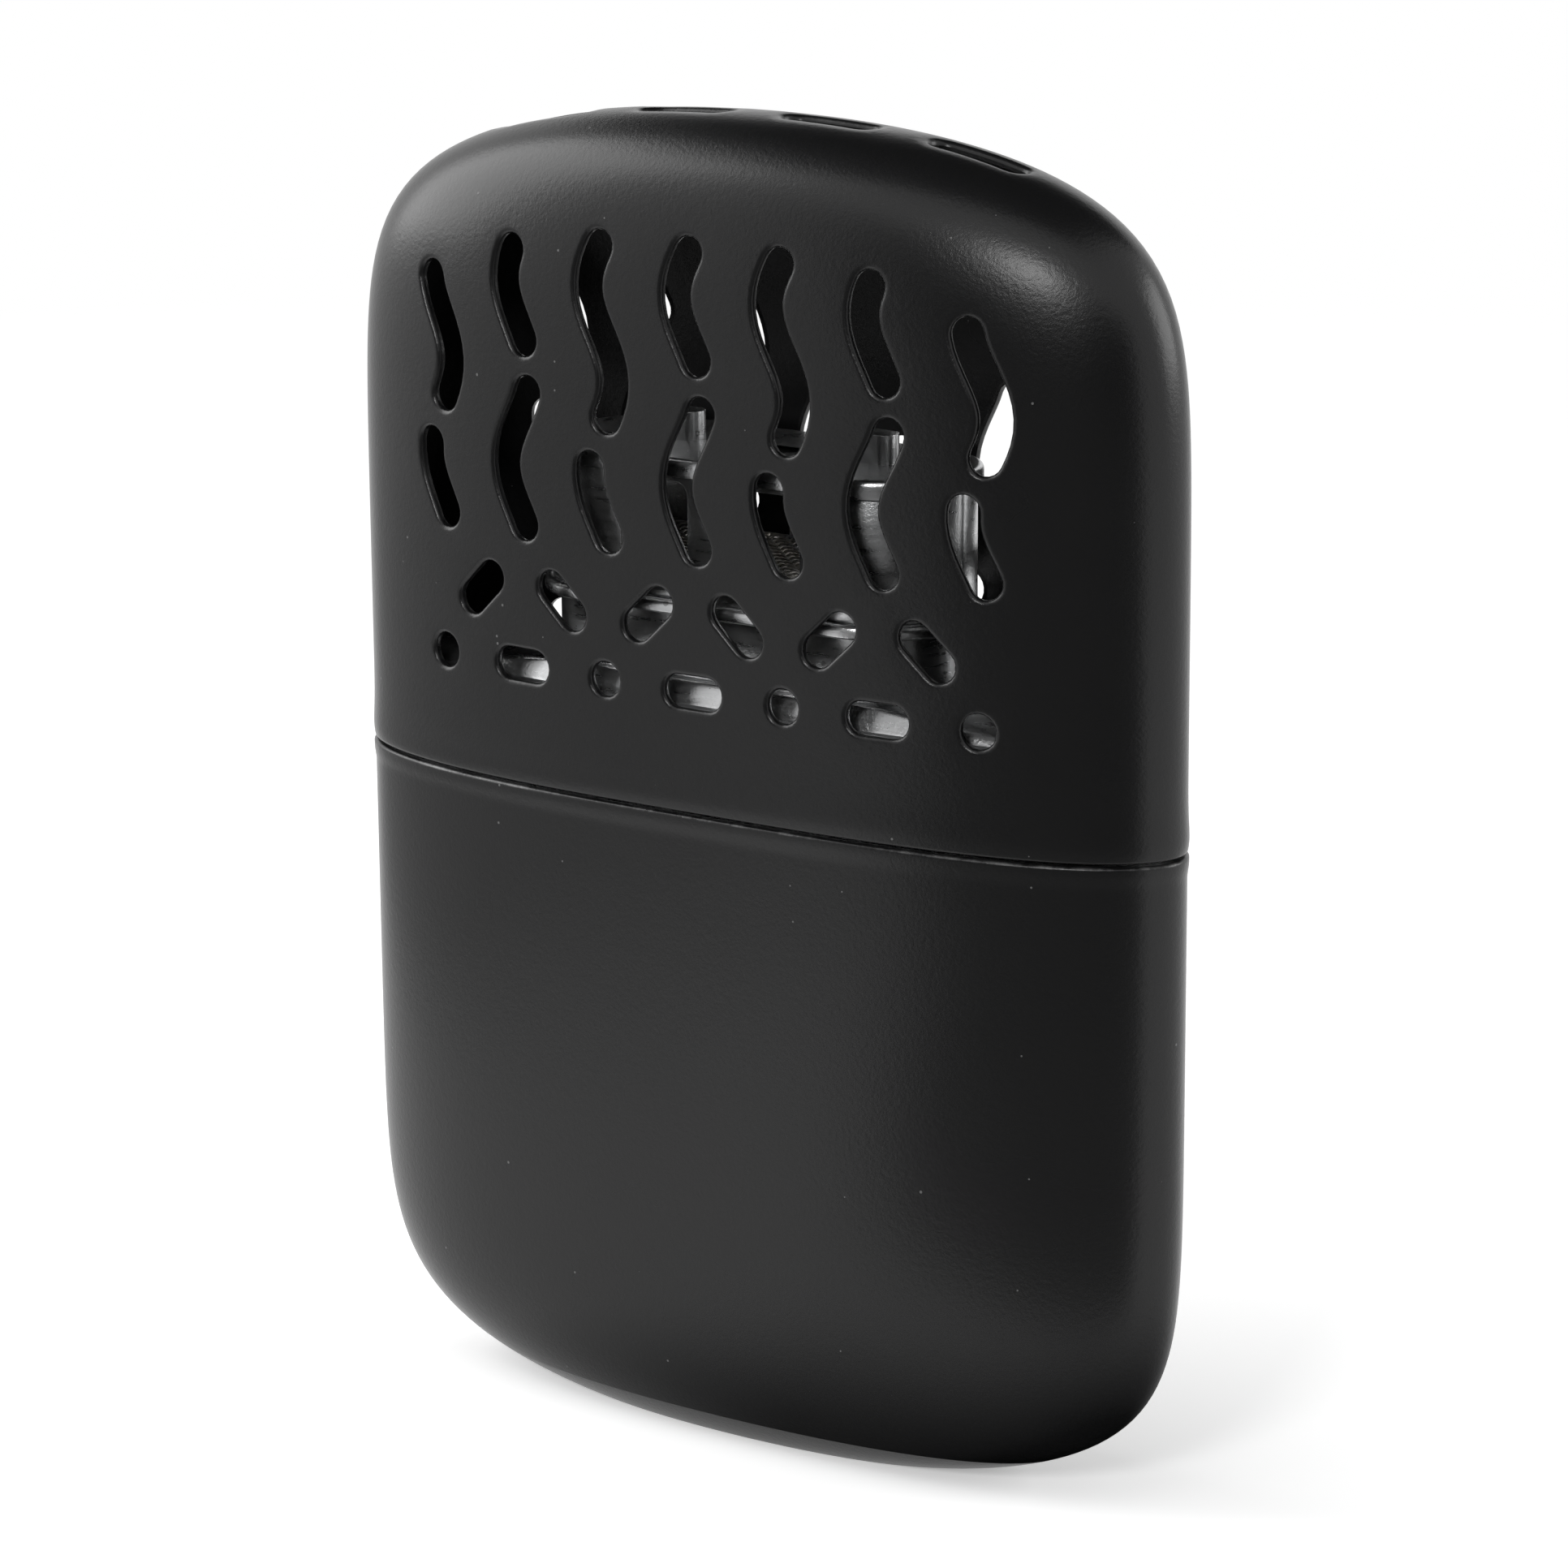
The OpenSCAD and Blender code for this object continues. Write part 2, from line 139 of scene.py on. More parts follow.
def soft_box(name, turn, rise, away, width, height, power):
    """A soft box facing the middle of the hand warmer."""
    towards = direction(turn, rise)
    bpy.ops.object.light_add(type="AREA", location=camera_aim + towards * away)
    lamp = bpy.context.object
    lamp.name = name
    lamp.rotation_mode = "QUATERNION"
    lamp.rotation_quaternion = towards.to_track_quat("Z", "Y")
    lamp.data.shape = "RECTANGLE"
    lamp.data.size, lamp.data.size_y = width, height
    lamp.data.energy = power
    lamp.visible_camera = False
    return lamp


soft_box("key_box", 10, 28, 0.8, 0.2, 0.18, 2.2)
soft_box("left_box", -75, 28, 0.9, 0.65, 0.75, 5.5)
soft_box("right_box", 125, 18, 0.9, 0.6, 0.5, 3.7)
soft_box("top_box", -25, 70, 1.0, 0.8, 0.8, 2.2).visible_glossy = False
bpy.context.scene.view_settings.view_transform = "Standard"


def card_paint(name, shade):
    """Matt card of one shade."""
    material, tree = new_material(name)
    matt = add(tree, "BsdfDiffuse", {"Color": (shade, shade, shade, 1)})
    add(tree, "OutputMaterial", {"Surface": matt.outputs[0]})
    return material


black_card = card_paint("black_card", 0.01)
dark_card = card_paint("dark_card", 0.14)
dim_card = card_paint("dim_card", 0.26)
grey_card = card_paint("grey_card", 0.6)

# The card round the foot thins out on all sides from a line under the right half of the hand warmer.
foot_mid, foot_half, faded_from, faded_to = 0.018, 0.010, 0.004, 0.032
faded_card, tree = new_material("faded_card")
where = add(tree, "SeparateXYZ", {"Vector": add(tree, "TexCoord").outputs["Object"]})
side = add(tree, "Math", {0: where.outputs["X"], 1: foot_mid}, operation="SUBTRACT")
side = add(tree, "Math", {0: side.outputs[0]}, operation="ABSOLUTE")
side = add(tree, "Math", {0: side.outputs[0], 1: foot_half}, operation="SUBTRACT")
side = add(tree, "Math", {0: side.outputs[0], 1: 0.0}, operation="MAXIMUM")
flat = add(tree, "CombineXYZ", {"X": side.outputs[0], "Y": where.outputs["Y"]})
away = add(tree, "VectorMath", {0: flat.outputs[0]}, operation="LENGTH")
thinned = add(tree, "MapRange", {"Value": away.outputs["Value"], "From Min": faded_from,
                                 "From Max": faded_to})
dull = add(tree, "BsdfDiffuse", {"Color": (0.01, 0.01, 0.01, 1)})
clear = add(tree, "BsdfTransparent")
both = add(tree, "MixShader", {0: thinned.outputs[0], 1: dull.outputs[0], 2: clear.outputs[0]})
add(tree, "OutputMaterial", {"Surface": both.outputs[0]})


def card(name, corners, material=black_card):
    """A card through four corners, hidden from the camera and casting no shade."""
    bpy.ops.mesh.primitive_plane_add(size=1)
    piece = bpy.context.object
    piece.name = name
    for vertex, corner in zip(piece.data.vertices, corners):
        vertex.co = corner
    piece.data.materials.append(material)
    piece.visible_camera = False
    piece.visible_diffuse = False
    piece.visible_shadow = False


def on_floor(turn, away, height=0.001):
    """A place on the floor, or that high above it, that many degrees round from the front."""
    place = direction(turn, 0) * away
    return Vector((place.x, place.y, height))


def laid(near, far):
    """Corners of a card laid on the floor; near and far are (turn from, turn to, distance)."""
    return [on_floor(turn, away) for *ends, away in (near, far) for turn in ends]


def stood(left, right, away, low, high):
    """Corners of an upright card between two turns, at a distance, from one height to another."""
    return [on_floor(turn, away, height) for height in (low, high) for turn in (left, right)]


card("near_card", laid((-12, 70, 0.06), (-15, 69, 0.17)), dim_card)
card("floor_card", laid((-15, 69, 0.17), (-20, 60, 0.9)), dark_card)
card("side_card", laid((-105, -17, 0.16), (-105, -22, 0.9)), grey_card)
card("upright_card", stood(-24, 60, 0.9, 0.001, 0.34))
card("left_flag", stood(-25, 2, 0.88, 0.3, 0.6))
ceiling_z, foot_card_z = 1.05, 0.002
card("ceiling_card", [(-0.55, -0.42, ceiling_z), (0.45, -0.42, ceiling_z), (-1.6, 1.6, ceiling_z),
                      (0.45, 1.6, ceiling_z)])
card("foot_card", [(x, y, foot_card_z) for y in (-0.08, 0.08) for x in (-0.1, 0.1)], faded_card)


# ---- Cover shell ----
# A deep cup drawn from thin steel sheet, pierced through both faces and the crown, its punched edges
# pressed in a little, and painted black inside and out. It pushes down over the tank's bright band.

split_z = mid_z
crown_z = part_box("cover_shell")[1].z / mm
half_w, half_t, foot_cut = 33.5, 8.4, 1.4
crown_h, base_h = crown_z - mid_z, mid_z + foot_cut
side_power, crown_power, base_power, face_power = 2.12, 9.28, 9.64, 1.45
wall = 0.55
rim_h, rim_roll, rim_gap = 0.2, 0.3, 0.14
swell, swell_up = 0.12, 1.2


def end_share(z, inset=0.0):
    """The share of the form's reach, from 0 to 1, that height z uses up."""
    power = np.where(z > mid_z, crown_power, base_power)
    reach = np.where(z > mid_z, crown_h, base_h) - inset
    return np.minimum(1.0, np.abs((z - mid_z) / reach) ** power)


def form_points(turn, z, inset=0.0, grow=0.0):
    """Points of the form at height z, turn radians round from its right side, moved out by grow."""
    share = end_share(z, inset)
    x = (1 - share) ** (1 / side_power) * np.cos(turn)
    reach = np.minimum(1.0, np.abs(x) ** side_power + share)
    y = np.sqrt(1 - reach ** face_power) * np.sign(np.sin(turn))
    points = [x * (half_w - inset + grow), y * (half_t - inset + grow), z + 0 * turn]
    return np.stack(points, axis=-1)


def rounded_rim(away):
    """How far the outside of a rim is rounded off, that far from its edge: a quarter round."""
    near = np.clip(1 - away / rim_h, 0, 1)
    return rim_roll * (1 - np.sqrt(1 - near ** 2))


def swelling(away):
    """The sheet's slight swelling beside the cover's rim, from 0 to its crest and slowly back."""
    share = away / swell_up
    return swell * (share * np.exp(1 - share)) ** 2


# The blank is the cover rolled out flat: each point lies as far from the middle as the crown is from
# it down the side of the form.
side_z = crown_z - (crown_z - split_z) * np.linspace(0, 1, 4000) ** 2.2
side_x = half_w * (1 - end_share(side_z)) ** (1 / side_power)
side_run = np.concatenate([[0], np.cumsum(np.hypot(np.diff(side_x), np.diff(side_z)))])


def to_blank(turn, z):
    run = np.interp(-z, -side_z, side_run)
    return np.stack([run * np.cos(turn), run * np.sin(turn)], axis=-1)


def from_blank(flat):
    z = np.interp(np.hypot(flat[:, 0], flat[:, 1]), side_run, side_z)
    return form_points(np.arctan2(flat[:, 1], flat[:, 0]), z, grow=swelling(z - split_z))


# The vents: a lattice of rising waves over two rows of short slots and dots.
slot_r = 1.15
column_step = 7.4
wave_swing, wave_pitch, wave_h = 1.1, 13.0, 18.6
break_even, break_odd, break_gap = 29.6, 25.0, 3.6
pair_h, lean_run, lean_rise = 13.6, 0.9, 0.85
row_h, row_run, dot_r = 8.6, 1.2, 1.2
lattice_h, lattice_fall = 38.5, 12.5
crown_step, crown_slot_run, crown_slot_r, crown_depth = 11.8, 2.7, 1.0, 6


def wave(x, low, high):
    """Points up a wave about the line at x, between two heights above the split."""
    up = np.linspace(low, high, max(4, round((high - low) / 0.6)))
    return np.stack([x + wave_swing * np.sin(2 * np.pi * up / wave_pitch), up], axis=-1)


def line(start, end):
    return np.linspace(start, end, 6)


face_vents = []
for k in range(-3, 4):
    x = k * column_step
    broken = break_even if k % 2 == 0 else break_odd
    top = lattice_h - lattice_fall * abs(x / half_w) ** 3
    face_vents.append((wave(x, wave_h, broken - break_gap / 2), slot_r))
    face_vents.append((wave(x, broken + break_gap / 2, top), slot_r))
    if k % 2 == 0:
        face_vents.append((line((x - row_run, row_h), (x + row_run, row_h)), slot_r))
    else:
        face_vents.append((np.array([(x, row_h - 0.01), (x, row_h + 0.01)]), dot_r))
for k in range(6):
    x = (k - 2.5) * column_step
    lean = lean_rise if k % 2 == 0 else -lean_rise
    face_vents.append((line((x - lean_run, pair_h - lean), (x + lean_run, pair_h + lean)), slot_r))
crown_vents = [
    (line((x - crown_slot_run, 0), (x + crown_slot_run, 0)), crown_slot_r)
    for x in (np.arange(4) - 1.5) * crown_step
]


def slot_outline(path, r):
    """Points round a slot of half width r along a path, with round ends."""
    run = np.gradient(path, axis=0)
    turn = np.arctan2(run[:, 1], run[:, 0])
    end = np.radians(np.arange(-72, 73, 18)) + turn[-1]
    start = np.radians(np.arange(108, 253, 18)) + turn[0]

    def offset(at, turns):
        return at + r * np.stack([np.cos(turns), np.sin(turns)], axis=-1)
    quarter = np.pi / 2
    return np.concatenate([
        offset(path, turn - quarter), offset(path[-1], end),
        offset(path, turn + quarter)[::-1], offset(path[0], start),
    ])


def face_to_blank(outline, side):
    """Face points (x, height above the split) in the blank; side is -1 in front and 1 at the back."""
    z = split_z + outline[:, 1]
    reach = half_w * (1 - end_share(z)) ** (1 / side_power)
    return to_blank(side * np.arccos(outline[:, 0] / reach), z)


def crown_to_blank(outline):
    """Crown points (x, y), seen from above, in the blank."""
    reach = (1 - (outline[:, 1] / half_t) ** 2) ** (1 / face_power)
    share = reach - np.abs(outline[:, 0] / half_w) ** side_power
    z = mid_z + crown_h * share ** (1 / crown_power)
    side_reach = half_w * (1 - end_share(z)) ** (1 / side_power)
    turn = np.arccos(np.clip(outline[:, 0] / side_reach, -1, 1)) * np.where(outline[:, 1] < 0, -1, 1)
    return to_blank(turn, z)


def away_from(points, path):
    """Distance of flat points from a path."""
    nearest = np.full(len(points), np.inf)
    for start, end in zip(path[:-1], path[1:]):
        along = end - start
        share = np.clip((points - start) @ along / (along @ along), 0, 1)
        nearest = np.minimum(nearest, np.linalg.norm(points - start - share[:, None] * along, axis=1))
    return nearest


def vent_gap(points):
    """How far points of the form lie from the edge of the nearest vent, below 0 inside it."""
    gap = np.full(len(points), np.inf)
    face = points[:, [0, 2]] - [0, split_z]
    for path, r in face_vents:
        gap = np.minimum(gap, away_from(face, path) - r)
    high = points[:, 2] > crown_z - crown_depth
    gap[high] = np.inf
    for path, r in crown_vents:
        gap[high] = np.minimum(gap[high], away_from(points[high][:, :2], path) - r)
    return gap


# Rings of points round the blank, closest at the rim, and a grid over the crown.
around = 240
blank_run = side_run[-1]
crown_run, ring_step, grid_step = 12.0, 0.95, 0.8
rim_steps = [0, 0.008, 0.03, 0.06, 0.1, 0.16, 0.3, 0.5, 0.75, 1.0, 1.3, 1.6, 1.9, 2.3, 2.8, 3.4, 4.0,
             4.8, 5.6, 6.5]
runs = [blank_run - rim_gap - step for step in rim_steps]
runs += list(np.arange(runs[-1] - ring_step, crown_run + 1, -ring_step))
turns = np.arange(around) * 2 * np.pi / around
blank = [np.stack([run * np.cos(turns), run * np.sin(turns)], axis=-1) for run in runs]
crown_side = np.arange(-crown_run, crown_run + 0.1, grid_step)
crown_grid = np.stack(np.meshgrid(crown_side, crown_side), axis=-1).reshape(-1, 2)
blank.append(crown_grid[np.hypot(crown_grid[:, 0], crown_grid[:, 1]) < crown_run + 0.3])
blank = np.concatenate(blank)
lip_steps = [0, 0.03, 0.08, 0.16, 0.26, 0.38, 0.6]
blank = blank[vent_gap(from_blank(blank)) > lip_steps[-1] + 0.2]

lip_edges, lip_rings = [], []
count = len(blank)
for vents, maps in (
    (face_vents, (lambda o: face_to_blank(o, -1), lambda o: face_to_blank(o, 1))),
    (crown_vents, (crown_to_blank,)),
):
    for path, r in vents:
        for flatten in maps:
            for step in lip_steps:
                ring = flatten(slot_outline(path, r + step))
                lip_rings.append(ring)
                last = count + len(ring) - 1
                lip_edges += [(i, i + 1) for i in range(count, last)] + [(last, count)]
                count += len(ring)
flat, _, faces, _, _, _ = geometry.delaunay_2d_cdt(
    [Vector(p) for p in np.concatenate([blank, *lip_rings])], lip_edges, [], 0, 1e-6)
flat, faces = np.array(flat), np.array(faces)
cover_points = from_blank(flat)
gap = vent_gap(cover_points)
faces = faces[~((gap[faces].max(axis=1) < 0.012) & (vent_gap(cover_points[faces].mean(axis=1)) < 0))]


def new_piece(name, points, faces):
    """A mesh piece from points in millimetres."""
    mesh = bpy.data.meshes.new(name)
    mesh.from_pydata((np.asarray(points) * mm).tolist(), [], faces)
    piece = bpy.data.objects.new(name, mesh)
    bpy.context.collection.objects.link(piece)
    return piece


def pick(piece):
    """Makes one piece the only selected and active one."""
    bpy.ops.object.select_all(action="DESELECT")
    piece.select_set(True)
    bpy.context.view_layer.objects.active = piece


def edit_all(piece):
    """Goes into edit mode with the whole piece selected."""
    pick(piece)
    bpy.ops.object.mode_set(mode="EDIT")
    bpy.ops.mesh.select_all(action="SELECT")


def modify(piece, kind, **settings):
    """Adds a modifier and applies it at once."""
    pick(piece)
    modifier = piece.modifiers.new(kind.lower(), kind)
    for key, value in settings.items():
        setattr(modifier, key, value)
    bpy.ops.object.modifier_apply(modifier=modifier.name)


def points_of(piece):
    """The piece's points, in millimetres."""
    points = np.empty(len(piece.data.vertices) * 3)
    piece.data.vertices.foreach_get("co", points)
    return points.reshape(-1, 3) / mm


def normals_of(piece):
    normals = np.empty(len(piece.data.vertices) * 3)
    piece.data.vertices.foreach_get("normal", normals)
    return normals.reshape(-1, 3)


def move_points(piece, points):
    """Puts the piece's points at new places, in millimetres."""
    piece.data.vertices.foreach_set("co", (points * mm).ravel())
    piece.data.update()


def smooth(piece, angle=35):
    pick(piece)
    bpy.ops.object.shade_smooth_by_angle(angle=math.radians(angle))


cover = new_piece("cover", cover_points, faces.tolist())
edit_all(cover)
bpy.ops.mesh.normals_make_consistent(inside=False)
bpy.ops.object.mode_set(mode="OBJECT")

# The sheet sags a little towards each hole and the paint heaps up along its edge. Then the sheet gets
# its thickness, and its outer edge is rounded.
lip_r, sag_run, face_sag, crown_sag = 0.26, 1.1, 0.07, 0.2
paint_ridge, ridge_in, ridge_w = 0.02, 0.32, 0.13
skin_points, skin_normals = points_of(cover), normals_of(cover)
gap = vent_gap(skin_points)
sag = np.where(skin_points[:, 2] > crown_z - crown_depth, crown_sag, face_sag)
sag *= np.clip(1 - gap / sag_run, 0, 1) ** 2
sag -= paint_ridge * np.exp(-((gap - ridge_in) / ridge_w) ** 2)
near = np.clip(lip_r - gap, 0, lip_r)
lip = lip_r - np.sqrt(lip_r ** 2 - near ** 2) + rounded_rim(skin_points[:, 2] - split_z - rim_gap)
move_points(cover, skin_points - skin_normals * sag[:, None])
modify(cover, "SOLIDIFY", thickness=wall * mm, offset=-1)
thick_points = points_of(cover)
thick_points[:len(lip)] -= skin_normals * lip[:, None]
move_points(cover, thick_points)
smooth(cover, 40)
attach(cover, "cover")
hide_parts("cover_shell")


# Black stoved paint: dark, satin, with the fine orange peel of sprayed enamel, sandy grain and a few
# pale specks of dust.

def new_group(name, inputs, outputs):
    """An empty node group with float inputs and named outputs."""
    group = bpy.data.node_groups.new(name, "ShaderNodeTree")
    for socket, value in inputs.items():
        made = group.interface.new_socket(socket, in_out="INPUT", socket_type="NodeSocketFloat")
        made.default_value = value
    for socket in outputs:
        group.interface.new_socket(socket, in_out="OUTPUT", socket_type="NodeSocketFloat")
    group_in, group_out = group.nodes.new("NodeGroupInput"), group.nodes.new("NodeGroupOutput")
    return group, group_in, group_out


def place(tree, group, **inputs):
    """Puts a node group in a material with its own values."""
    node = tree.nodes.new("ShaderNodeGroup")
    node.node_tree = group
    for key, value in inputs.items():
        node.inputs[key.replace("_", " ")].default_value = value
    return node


# Grain: rolling orange peel with sharper sand on it, as a height from 0 to 1.
grain, grain_in, grain_out = new_group(
    "grain", {"Peel": 900.0, "Sand": 5000.0, "Sand Share": 0.4}, ["Height"])
where = add(grain, "TexCoord").outputs["Object"]
peel = add(grain, "TexNoise", {"Vector": where, "Detail": 2.0, "Roughness": 0.55})
sand = add(grain, "TexNoise", {"Vector": where, "Detail": 3.0, "Roughness": 0.7})
grain.links.new(grain_in.outputs["Peel"], peel.inputs["Scale"])
grain.links.new(grain_in.outputs["Sand"], sand.inputs["Scale"])
mixed = add(grain, "Mix", {"Factor": grain_in.outputs["Sand Share"], 2: peel.outputs["Fac"],
                           3: sand.outputs["Fac"]}, data_type="FLOAT")
grain.links.new(mixed.outputs[0], grain_out.inputs["Height"])

# Dust: sparse round specks, 1 in the middle of a speck.
dust, dust_in, dust_out = new_group("dust", {"Scale": 420.0, "Size": 0.05, "Share": 0.5}, ["Speck"])
cells = add(dust, "TexVoronoi", {"Vector": add(dust, "TexCoord").outputs["Object"]})
dust.links.new(dust_in.outputs["Scale"], cells.inputs["Scale"])
lot = add(dust, "SeparateColor", {"Color": cells.outputs["Color"]})
chosen = add(dust, "Math", {0: lot.outputs["Red"], 1: dust_in.outputs["Share"]}, operation="LESS_THAN")
size = add(dust, "Math", {0: lot.outputs["Green"], 1: dust_in.outputs["Size"]}, operation="MULTIPLY")
inside = add(dust, "Math", {0: cells.outputs["Distance"], 1: size.outputs[0]}, operation="LESS_THAN")
speck = add(dust, "Math", {0: chosen.outputs[0], 1: inside.outputs[0]}, operation="MULTIPLY")
dust.links.new(speck.outputs[0], dust_out.inputs["Speck"])


def stoved_paint(name, pale_edge_z=None):
    """Black paint; the second argument is the height in millimetres of an edge along which a pale
    patchy line is painted.
    """
    material, tree = new_material(name)
    where = add(tree, "TexCoord").outputs["Object"]
    cloud = add(tree, "TexNoise", {"Vector": where, "Scale": 60.0, "Detail": 3.0})
    tone = add(tree, "Mix", {"Factor": cloud.outputs["Fac"], 6: (0.004, 0.004, 0.0042, 1),
                             7: (0.0062, 0.0062, 0.0065, 1)}, data_type="RGBA")
    specks = place(tree, dust, Scale=520.0, Size=0.055, Share=0.5)
    colour = add(tree, "Mix", {"Factor": specks.outputs[0], 6: tone.outputs[2], 7: (0.1, 0.1, 0.1, 1)},
                 data_type="RGBA").outputs[2]
    gloss = add(tree, "MapRange", {"Value": cloud.outputs["Fac"], "To Min": 0.25, "To Max": 0.31})
    height = place(tree, grain, Peel=2200.0, Sand=3600.0, Sand_Share=0.6)
    # A pale patchy line is painted along the edge, paler than the paint round it.
    if pale_edge_z is not None:
        rise = add(tree, "SeparateXYZ", {"Vector": where}).outputs["Z"]
        off = add(tree, "Math", {0: rise, 1: pale_edge_z * mm}, operation="SUBTRACT")
        off = add(tree, "Math", {0: off.outputs[0]}, operation="ABSOLUTE")
        edge = add(tree, "MapRange", {"Value": off.outputs[0], "From Min": 0.03 * mm,
                                      "From Max": 0.11 * mm, "To Min": 1.0, "To Max": 0.0})
        patchy = add(tree, "TexNoise", {"Vector": where, "Scale": 85.0, "Detail": 9.0,
                                        "Roughness": 0.72})
        patches = add(tree, "MapRange", {"Value": patchy.outputs["Fac"], "From Min": 0.5,
                                         "From Max": 0.68})
        pale_edge_mask = add(tree, "Math", {0: edge.outputs[0], 1: patches.outputs[0]}, operation="MULTIPLY")
        colour = add(tree, "Mix", {"Factor": pale_edge_mask.outputs[0], 6: colour, 7: (0.2, 0.2, 0.2, 1)},
                     data_type="RGBA").outputs[2]
    bump = add(tree, "Bump", {"Height": height.outputs[0], "Strength": 1.0, "Distance": 0.000026})
    paint = add(tree, "BsdfPrincipled", {
        "Base Color": colour, "Roughness": gloss.outputs[0], "Normal": bump.outputs[0],
        "Specular IOR Level": 0.33})
    add(tree, "OutputMaterial", {"Surface": paint.outputs[0]})
    return material


black_paint = stoved_paint("black_paint")
cover.data.materials.append(black_paint)


# ---- Tank shell ----
# The same drawn and painted cup turned over, with a soft bead pressed round it just under its rim and
# its bottom pressed flat to stand on. A pale patchy line is painted along the edge of the rim.

def rolled_sheet(name, rings, closed=True):
    """A flat grid rolled up through rings of points in millimetres, running upwards and left."""
    rings = np.asarray(rings, dtype=float)
    rows, columns = rings.shape[:2]
    across = columns if closed else columns - 1
    bpy.ops.mesh.primitive_grid_add(x_subdivisions=across, y_subdivisions=rows - 1, size=2)
    piece = bpy.context.object
    piece.name = piece.data.name = name
    at = points_of(piece) * mm
    column = np.rint((at[:, 0] + 1) / 2 * across).astype(int) % columns
    row = np.rint((at[:, 1] + 1) / 2 * (rows - 1)).astype(int)
    move_points(piece, rings[row, column])
    edit_all(piece)
    bpy.ops.mesh.remove_doubles(threshold=0.0005 * mm)
    bpy.ops.object.mode_set(mode="OBJECT")
    return piece


def close_end(piece, test):
    """Fills the open edge whose points pass a test of (x, y, z) in millimetres."""
    pick(piece)
    bpy.ops.object.mode_set(mode="EDIT")
    bpy.ops.mesh.select_mode(type="EDGE")
    bpy.ops.mesh.select_all(action="DESELECT")
    bpy.ops.mesh.select_non_manifold(extend=False, use_boundary=True, use_wire=False)
    bpy.ops.object.mode_set(mode="OBJECT")
    at = points_of(piece)
    for edge in piece.data.edges:
        edge.select = edge.select and all(test(*at[v]) for v in edge.vertices)
    bpy.ops.object.mode_set(mode="EDIT")
    bpy.ops.mesh.edge_face_add()
    bpy.ops.object.mode_set(mode="OBJECT")


bead, bead_top, bead_h, pale_edge_drop = 0.12, 0.4, 1.3, 0.1
base_z = mid_z - base_h * np.linspace(0, 1, 3000) ** 0.5
base_z = np.concatenate([[split_z], base_z[(base_z < split_z) & (base_z > 0)], [0]])
base_x = half_w * (1 - end_share(base_z)) ** (1 / side_power)
base_run = np.concatenate([[0], np.cumsum(np.hypot(np.diff(base_x), np.diff(base_z)))])
rim_down = [0, 0.008, 0.03, 0.06, 0.1, 0.16, 0.3, 0.4, 0.55, 0.7, 0.85, 1.0, 1.15, 1.3, 1.5, 1.7, 2.0,
            2.5, 3.2]
down_run = np.concatenate([rim_down, np.linspace(4.2, base_run[-1], 66)])
heights = np.interp(down_run, base_run, base_z)
drop = split_z - heights
grow = bead * (0.5 + 0.5 * np.cos(np.pi * np.clip((drop - bead_top) / bead_h, 0, 1)))
rings = [form_points(turns, np.full(around, z), grow=g) for z, g in zip(heights, grow)]
sole = rings[-1]
rings += [sole * [share, share, 1] for share in (0.9, 0.7, 0.45, 0.2, 0.05)]
tank = rolled_sheet("tank", rings[::-1])
close_end(tank, lambda x, y, z: z < 1)
outer_points, outer_normals = points_of(tank), normals_of(tank)
modify(tank, "SOLIDIFY", thickness=wall * mm, offset=-1, use_even_offset=True)
thick_points = points_of(tank)
thick_points[:len(outer_points)] -= outer_normals * rounded_rim(split_z - outer_points[:, 2])[:, None]
move_points(tank, thick_points)
smooth(tank, 40)
tank.data.materials.append(stoved_paint("black_paint_pale_edge", pale_edge_z=split_z - pale_edge_drop))
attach(tank, "tank")
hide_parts("tank_shell")


# ---- Tank top ----
# Bright plated shoulder drawn from sheet. Its skirt is pressed into the tank, its straight band stands
# clear for the cover to slide over, and a turned-up edge at the top holds the mouth.

band_z, crest_z = split_z + 7.3, split_z + 8.9
mouth_half = 10.2
seat_in, band_in, bend_r, plate = 0.57, 0.8, 0.9, 0.5
collar_r, collar_bend, collar_h = 5.75, 0.35, 0.2


def oval(half, r):
    """Points round an oval with straight sides, at the same turns as the form's rings."""
    x = (half + r) * np.cos(turns)
    y = np.sqrt(np.clip(r ** 2 - np.clip(np.abs(x) - half, 0, None) ** 2, 0, None))
    return np.stack([x, y * np.sign(np.round(np.sin(turns), 6))], axis=-1)


def level(points, z):
    """Flat points raised to a height."""
    return np.column_stack([points[:, :2], np.full(len(points), z)])


def soften_edges(piece, width):
    """Takes the sharpness off the edges of a sheet."""
    modify(piece, "BEVEL", width=width * mm, segments=2, limit_method="ANGLE",
           angle_limit=math.radians(50))
    smooth(piece, 40)


def band_ring(z, drawn_in=0.0):
    return level(form_points(turns, np.full(around, split_z), inset=band_in, grow=-drawn_in), z)


def skirt_rings(inset, drops):
    """Rings of the skirt in the tank, this far below the seam."""
    return [form_points(turns, np.full(around, split_z - drop), inset=inset) for drop in drops]


rings = skirt_rings(seat_in, (4.2, 3.0, 1.8, 0.7, 0.6)) + skirt_rings(band_in, (0.3, 0.2))
rings += [band_ring(split_z + up) for up in (0.6, 1.6, 2.8, 4.0, 5.2, 6.0, 6.3)]
for bend in np.radians([10, 22, 36, 50, 64, 78]):
    rings.append(band_ring(band_z - bend_r * (1 - math.sin(bend)), bend_r * (1 - math.cos(bend))))
collar = oval(mouth_half, collar_r + collar_bend)
for share in np.linspace(0, 1, 15):
    flat_ring = band_ring(0, bend_r)[:, :2] * (1 - share) + collar * share
    rings.append(level(flat_ring, band_z + (crest_z - band_z) * math.sin(math.pi / 2 * share)))
for bend in np.radians([22, 45, 68, 90]):
    r = collar_r + collar_bend * (1 - math.sin(bend))
    rings.append(level(oval(mouth_half, r), crest_z + collar_bend * (1 - math.cos(bend))))
rings.append(level(oval(mouth_half, collar_r), crest_z + collar_bend + collar_h))
tank_top = rolled_sheet("tank_shoulder", rings)
